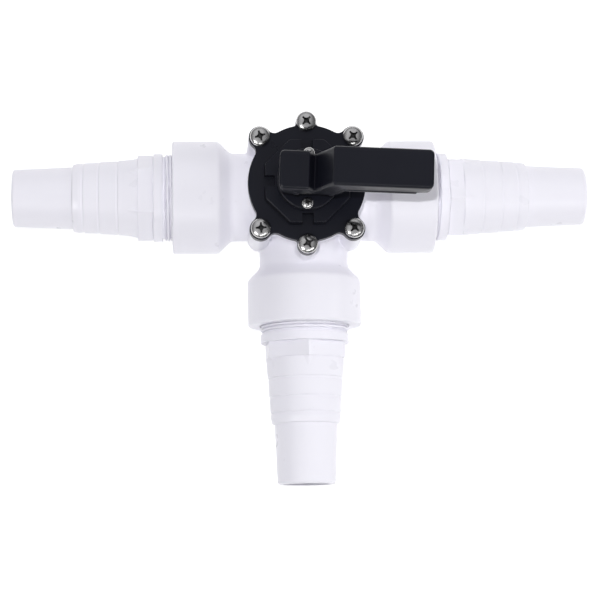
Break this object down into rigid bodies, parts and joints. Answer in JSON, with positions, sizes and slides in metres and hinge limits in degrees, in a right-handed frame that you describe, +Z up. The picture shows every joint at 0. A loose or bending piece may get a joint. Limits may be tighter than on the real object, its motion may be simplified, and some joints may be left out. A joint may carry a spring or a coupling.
{
  "type": "three way valve",
  "caption": "Three-way diverter valve: white tee with a black round cover, a cranked lever that turns inside it, and stepped hose tails screwed into its ports.",
  "frame": {"origin": "centre of the flat base, on the stem's axis", "axes": "+Z up along the stem to the lever; the two run ports face -X and +X; the branch port faces -Y"},
  "size_m": [0.3155, 0.1971, 0.1226],
  "materials": {
    "white_abs": "moulded satin white, faintly cool",
    "black_plastic": "moulded satin black",
    "grey_plastic": "moulded grey, matte",
    "slip_plastic": "natural low-friction plastic",
    "stainless_steel": "bright stainless, lightly tumbled",
    "seal_rubber": "black moulded rubber"
  },
  "bodies": {
    "body": {"valve_body": "white_abs", "cover": "black_plastic", "cover_o_ring": "seal_rubber", "thrust_washer": "slip_plastic", "cover_screw_1": "stainless_steel", "cover_screw_2": "stainless_steel", "cover_screw_3": "stainless_steel", "cover_screw_4": "stainless_steel", "cover_screw_5": "stainless_steel", "cover_screw_6": "stainless_steel", "left_adapter": "white_abs", "left_adapter_o_ring": "seal_rubber", "right_adapter": "white_abs", "right_adapter_o_ring": "seal_rubber", "branch_adapter": "white_abs", "branch_adapter_o_ring": "seal_rubber"},
    "rotor": {"diverter": "grey_plastic", "diverter_seal": "seal_rubber", "stem_o_ring_1": "seal_rubber", "stem_o_ring_2": "seal_rubber", "drive_hub": "black_plastic", "hub_washer": "stainless_steel", "hub_screw": "stainless_steel", "handle": "black_plastic", "handle_screw_1": "stainless_steel", "handle_screw_2": "stainless_steel"}
  },
  "joints": [
    {"name": "lever_turn", "type": "hinge", "parent": "body", "child": "rotor", "pos_m": [0, 0, 0], "axis": [0, 0, 1], "continuous": true}
  ]
}
